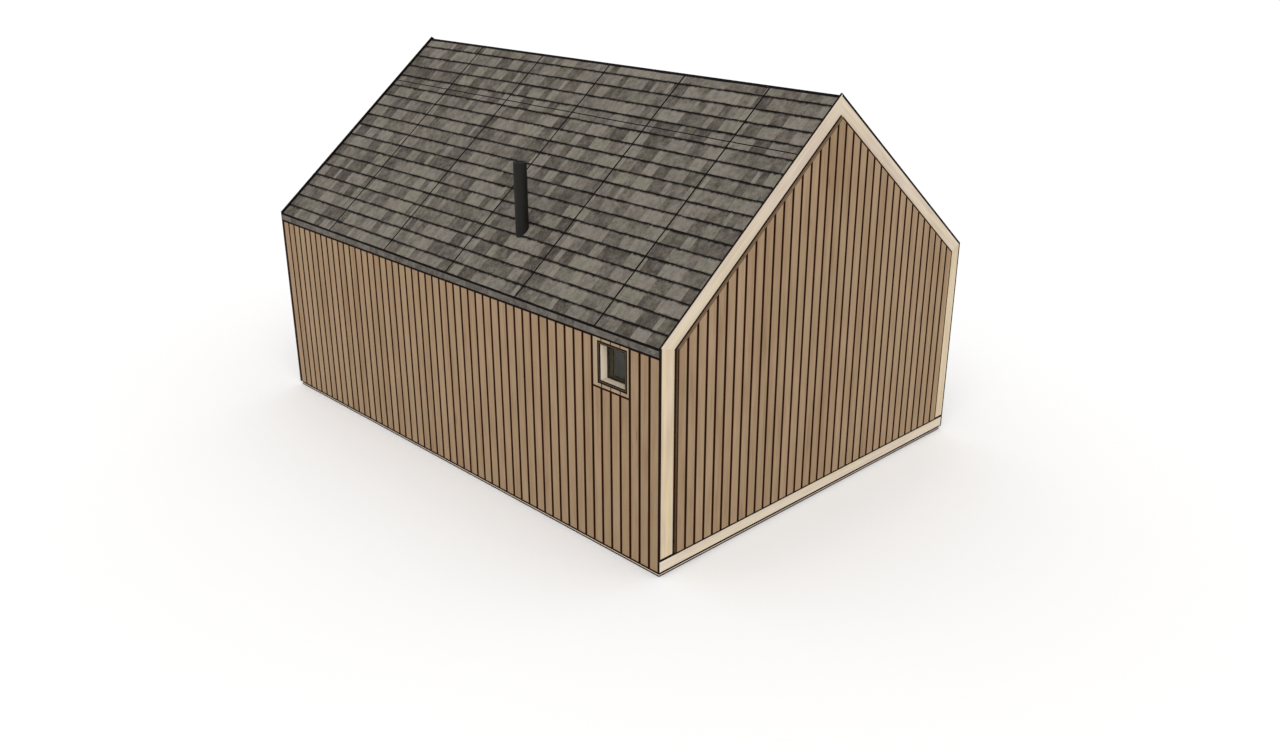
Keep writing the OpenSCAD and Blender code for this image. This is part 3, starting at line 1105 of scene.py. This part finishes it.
def turn(name, section, material, slot, node):
    """A closed section of (radius, height) swept round the flue's axis."""
    points = []
    faces = []
    count = len(section)
    for step in range(TURN_STEPS):
        angle = 2 * math.pi * step / TURN_STEPS
        cosine, sine = math.cos(angle), math.sin(angle)
        points += [(FLUE_X + r * cosine, FLUE_Y + r * sine, z) for r, z in section]
        this, following = step * count, (step + 1) % TURN_STEPS * count
        for i in range(count):
            j = (i + 1) % count
            faces.append((this + i, following + i, following + j, this + j))
    mesh = bpy.data.meshes.new(name)
    mesh.from_pydata(points, [], faces)
    face_outwards(mesh)
    mesh.shade_smooth()
    mesh.set_sharp_from_angle(angle=CRISP_ANGLE)
    hand_over(mesh, name, material, slot, (node,))


def round_rim(radius, z, size, side):
    """Points of a quarter round at the rim, from the wall (side 1 outside, -1 inside)."""
    middle = radius - side * size
    turns = [math.pi / 2 * step / RIM_STEPS for step in range(RIM_STEPS + 1)]
    return [(middle + side * size * math.cos(t), z - size + size * math.sin(t)) for t in turns]


def make_metal(name, dark, light, metallic, matt):
    """Painted or bare steel with soft patches of soot and fine upright rubs."""
    material, tree, surface = principled(name)
    soot, rubs = ((7.0, 7.0, 3.0), 4.0, 0.6), ((150.0, 150.0, 4.0), 3.0, 0.6)
    base, _, rubs = two_tones(tree, dark, light, soot, rubs, 0.6)
    rough = spread(tree, rubs, -0.3, 0.3, *matt)
    finish_surface(tree, surface, base, rough, (rubs, 0.1, 0.0005), 0.2, Metallic=metallic)
    return material


FLUE_PAINT = make_metal("flue_paint", (15, 14, 12), (28, 26, 22), 0.0, (0.55, 0.75))
FLUE_STEEL = make_metal("flue_steel", (52, 48, 44), (84, 80, 74), 0.8, (0.45, 0.7))

liner_low, liner_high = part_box("flue_liner")
pipe_radius = (pipe_high.x - pipe_low.x) / 2
liner_radius = (liner_high.x - liner_low.x) / 2
bore_radius = liner_radius - LINER_WALL
foot, top = pipe_low.z, pipe_high.z
section = [(liner_radius, foot), (pipe_radius, foot)]
section += round_rim(pipe_radius, top, PIPE_ROUND, 1)
section += round_rim(liner_radius, top, LINER_ROUND, -1)[::-1]
turn("flue_outer_pipe", section, FLUE_PAINT, "flue_paint", "flue_pipe")
outside, top = liner_radius - CLEAR, top - LINER_DROP
section = [(bore_radius, foot), (outside, foot), (outside, top)]
section += round_rim(bore_radius, top, LINER_ROUND, -1)[::-1]
turn("flue_bare_liner", section, FLUE_STEEL, "flue_steel", "flue_liner")

# %% [markdown]
# ## The door
#
# The far gable has a plain door of upright boards, shut against its stop, in a pale frame that
# is flush with the wall. Grooves could be drawn on one leaf, but six boards on a backing have
# real joints with a dark sheet behind them; its dark stain is painted shade in the joints. The
# frame has two jambs, a head and narrow stops behind the leaf, and the threshold closes it at the
# foot. Its edges are stained like those of the gable's trim.

# %% Hang the door
LEAF_BOARDS = 6
LEAF_FACE = 0.011
LEAF_GAP = 0.006
DARK_LOW, DARK_HIGH = 0.013, 0.01
STOP = 0.012
STOP_DEPTH = 0.04
THRESHOLD_EDGE = 0.003
FRAME_EDGE = {"ease": 0.004, "drop": 0.002, "slope": 1.0}
leaf_low, leaf_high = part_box("door_leaf")
sill_low, sill_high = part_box("door_threshold")

pile = Pile(left_gable)
back, front = -leaf_high.x, -leaf_low.x
foot, head, side = leaf_low.z, leaf_high.z, leaf_high.y
inset = rectangle(-side + TUCK, side - TUCK, foot + TUCK, head - TUCK)
add_board(pile, inset, back, front - LEAF_FACE - TUCK, edge=0.0)
# A dark sheet behind the boards shows in the joints: painted shade.
add_board(pile, inset, front - DARK_LOW, front - DARK_HIGH, face=1.0)
width = 2 * side / LEAF_BOARDS
joints = [-side + width * k for k in range(1, LEAF_BOARDS)]
for a0, a1 in split(-side, side, joints, LEAF_GAP):
    add_board(pile, rectangle(a0, a1, foot, head), front - LEAF_FACE, front)
finish_pile(pile, "door_leaf_boards", WALL_BOARD, "cladding", "door_leaf")

pile = Pile(left_gable)
wall, stop = (-doorway_high.x, -doorway_low.x), (back - STOP_DEPTH, back)
outer, inner, sill = half_door, sill_high.y, sill_high.z
foot, top = doorway_low.z, doorway_high.z
head = top - (outer - inner)
for part, upright, depths in (
    ((-outer, -inner, foot, head), True, wall),
    ((inner, outer, foot, head), True, wall),
    ((-outer, outer, head, top), False, wall),
    ((-inner, -inner + STOP, sill, head), True, stop),
    ((inner - STOP, inner, sill, head), True, stop),
    ((-inner + STOP, inner - STOP, head - STOP, head), False, stop),
):
    add_board(pile, rectangle(*part), *depths, upright, edge=0.0, **FRAME_EDGE)
finish_pile(pile, "door_frame_boards", PALE_BOARD, "trim", "door_frame_unit")

pile = Pile(left_gable)
outline = rectangle(-inner, inner, sill_low.z, sill)
add_board(pile, outline, *wall, False, edge=0.0, ease=THRESHOLD_EDGE)
finish_pile(pile, "door_threshold_board", PALE_BOARD, "trim", "door_threshold")

# %% [markdown]
# The pull is a wooden bar on two short posts. Hands wear its edges round, so it is bevelled
# much more than the boards.

# %% Carve the pull
POST = 0.03
POST_INSET = 0.003
POST_START = 0.004
BAR_ROUND = 0.007
POST_ROUND = 0.003
handle_low, handle_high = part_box("door_handle")


def bevelled_block(work, low, high, size):
    """A block between two corners with rounded edges, in a bmesh."""
    made = bmesh.ops.create_cube(work, size=1.0)["verts"]
    for vert in made:
        for axis in range(3):
            middle = (low[axis] + high[axis]) / 2
            vert.co[axis] = middle + vert.co[axis] * (high[axis] - low[axis])
    edges = list({edge for vert in made for edge in vert.link_edges})
    bmesh.ops.bevel(work, geom=edges, offset=size, segments=3, profile=0.5, affect="EDGES")


work = bmesh.new()
bar_back = handle_low.x + handle_high.y - handle_low.y
bevelled_block(work, handle_low, (bar_back, handle_high.y, handle_high.z), BAR_ROUND)
for z in (handle_low.z + 2 * POST, handle_high.z - 3 * POST):
    low = (bar_back - POST_START, handle_low.y + POST_INSET, z)
    high = (OVERLAP - front, handle_high.y - POST_INSET, z + POST)
    bevelled_block(work, low, high, POST_ROUND)
mesh = bpy.data.meshes.new("door_pull")
work.to_mesh(mesh)
work.free()
places = [mesh.vertices[loop.vertex_index].co for loop in mesh.loops]
faces = len(mesh.polygons)
add_marks(mesh, [(p.x + p.y, p.z) for p in places], [0.4] * faces, [0.0] * faces)
hand_over(mesh, "door_pull", PALE_BOARD, "trim", ("door_handle",))

# %% [markdown]
# ## What the boards cover
#
# The framed walls, the roof panels, the sole plates and the battens keep their frame shapes and
# only need materials. They have no board map, so the grain is laid by their place in the room:
# one axis runs along the grain and the other two lie across it. The room's lining is narrow
# boards, drawn as thin dark joints at an even pitch. Outside, dark building paper covers the
# walls; its dark colour is painted shade where it shows in the gaps beside the corner boards. The
# sole plates are painted darker at their foot, as contact shade at the ground, and at their top,
# as shade under the boards' lower ends. Pale wood is left between.

# %% Materials for the frame's own parts
AXES = {"x": (1, 2, 0), "y": (0, 2, 1)}
LINING_PITCH = 0.095
JOINT = 0.035
LINING = ((176, 146, 110), (206, 178, 140), (206, 178, 140))
PLATE = ((218, 202, 176), (240, 227, 206), (240, 227, 206))
DARK = ((38, 26, 16), (62, 44, 28), (62, 44, 28))
# Painted shade: the paper where it shows in gaps, and the plates' foot and top.
PAPER_AND_GAP_SHADE = colour(84, 62, 42)
FOOT_SHADE_TOP = 0.016
TOP_SHADE_FROM = 0.024


def room_wood(name, tones, along, joint_axis, covers):
    """Wood by place in the room, with its grain along one axis and joints across another.

    covers are where it is papered or stained darker as painted shade: over or under a distance on
    one axis.
    """
    material, tree, surface = principled(name)
    parts = place(tree, "SeparateXYZ", {0: place(tree, "TexCoord")["Object"]})
    first, second, third = (parts[axis] for axis in AXES[along])
    sockets = {0: add(tree, first, second), 1: third, 2: first}
    spot, tint = place(tree, "CombineXYZ", sockets)[0], 0.5
    if joint_axis is not None:
        in_row = times(tree, parts[joint_axis], 1 / LINING_PITCH)
        row = calculate(tree, "FLOOR", in_row)
        own = place(tree, "TexWhiteNoise", {"W": row}, noise_dimensions="1D")["Value"]
        tint = spread(tree, own, 0.0, 1.0, 0.3, 0.7)
        fraction = calculate(tree, "FRACT", in_row)
        near_end = calculate(tree, "COMPARE", fraction, 1.0, JOINT)
        near_start = spread(tree, fraction, 0.0, JOINT, 1.0, 0.0)
        joint = calculate(tree, "MAXIMUM", near_end, near_start)
    grain = use_group(tree, WOOD_GRAIN, spot, tint, 0.5, tones)
    base, height = grain["Color"], grain["Height"]
    if joint_axis is not None:
        base = blend_colours(tree, joint, base, DARK_STAIN_AND_SHADE)
        height = weigh(tree, (height, 1.0), (joint, -6.0))
    for side, axis, distance, cover in covers:
        reach = calculate(tree, "ABSOLUTE", parts[axis])
        covered = calculate(tree, side, reach, distance)
        base = blend_colours(tree, covered, base, cover)
    finish_surface(tree, surface, base, grain["Roughness"], (height, 0.2, 0.002), 0.1)
    return material


LONG_WALLS = ["back_wall"]
LONG_WALLS += [f"front_wall_{part}" for part in ("left", "right", "below_window", "over_window")]
paper_shade_long = ("GREATER_THAN", 1, CLADDING_BACK - TUCK, PAPER_AND_GAP_SHADE)
paper_shade_gable = ("GREATER_THAN", 0, CORE_END - TUCK, PAPER_AND_GAP_SHADE)
stain_and_painted_shade = [("LESS_THAN", 2, FOOT_SHADE_TOP, DARK_STAIN_AND_SHADE), ("GREATER_THAN", 2, TOP_SHADE_FROM, DARK_STAIN_AND_SHADE)]
for name, tones, along, joint_axis, covers, nodes in (
    ("lining_long", LINING, "x", 2, [paper_shade_long], LONG_WALLS),
    ("lining_gable", LINING, "y", 2, [paper_shade_gable], ["right_gable_wall", "left_gable_wall"]),
    ("ceiling_boards", LINING, "x", 1, [], ["front_roof_panel", "back_roof_panel"]),
    ("plate_long", PLATE, "x", None, stain_and_painted_shade, ["front_sole_plate", "back_sole_plate"]),
    ("plate_short", PLATE, "y", None, stain_and_painted_shade, ["right_sole_plate", "left_sole_plate"]),
    ("batten", DARK, "y", None, [], ["right_gable_battens", "left_gable_battens"]),
):
    material = room_wood(name, tones, along, joint_axis, covers)
    for node in nodes:
        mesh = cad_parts[node].data
        mesh.materials.clear()
        mesh.materials.append(material)
        print(f"{node}: {name}")

# %% [markdown]
# ## Floor, light and camera
#
# The hut stands on a pale floor under an even white sky, with one wide soft lamp for a little
# shape. A sky of strength 1 over a pale floor shows a colour about as it is written, so the sky
# and the lamp share that amount. Rays that go straight to the camera, or that are seen in glass
# or steel, find a plain white background.

# %% Stage the hut
WHITE = (1.0, 1.0, 1.0, 1.0)
FLOOR_REACH = 400.0
SKY = 0.8


def seen_directly(tree):
    """1 for rays from the camera, in a reflection or through glass, and 0 for light."""
    path = place(tree, "LightPath")
    seen = add(tree, path["Is Camera Ray"], path["Is Glossy Ray"])
    sockets = {0: seen, 1: path["Is Transmission Ray"]}
    return place(tree, "Math", sockets, operation="ADD", use_clamp=True)[0]


mesh = bpy.data.meshes.new("floor")
corners = rectangle(-FLOOR_REACH, FLOOR_REACH, -FLOOR_REACH, FLOOR_REACH)
mesh.from_pydata([(x, y, 0.0) for x, y in corners], [], [(0, 1, 2, 3)])
floor = put_in_scene("floor", mesh)
material, tree, surface = principled("pale_floor")
clouds = noise(tree, place(tree, "TexCoord")["Object"], (0.6, 0.6, 0.6))
clouds = spread(tree, clouds, -0.4, 0.4)
matt = blend_colours(tree, clouds, (0.86, 0.86, 0.86, 1.0), (0.9, 0.9, 0.9, 1.0))
white = blend_colours(tree, seen_directly(tree), matt, WHITE)
fill(tree, surface, {"Base Color": white, "Roughness": 1.0, "Specular IOR Level": 0.0})
mesh.materials.append(material)

world = bpy.data.worlds.new("even_sky")
bpy.context.scene.world = world
world.use_nodes = True
tree = world.node_tree
strength = spread(tree, seen_directly(tree), 0.0, 1.0, SKY, 1.0)
fill(tree, tree.nodes["Background"], {"Color": WHITE, "Strength": strength})

lamp = bpy.data.lights.new("wide_lamp", "SUN")
lamp.energy = 1.0
lamp.angle = math.radians(50)
lamp_object = put_in_scene("wide_lamp", lamp)
lamp_object.rotation_euler = Vector((0.5, -0.5, 0.8)).to_track_quat("Z", "Y").to_euler()

camera = bpy.data.cameras.new("camera")
camera.lens = 33.09
camera.sensor_width = 36.0
camera.clip_end = 2000.0
camera_object = put_in_scene("camera", camera)
camera_object.location = (10.5524, -9.6613, 6.2686)
camera_object.rotation_euler = [math.radians(angle) for angle in (67.995, 0.0, 45.754)]
bpy.context.scene.camera = camera_object
bpy.context.scene.view_settings.view_transform = "Standard"
print("lamp strength", lamp.energy, "sky", SKY)
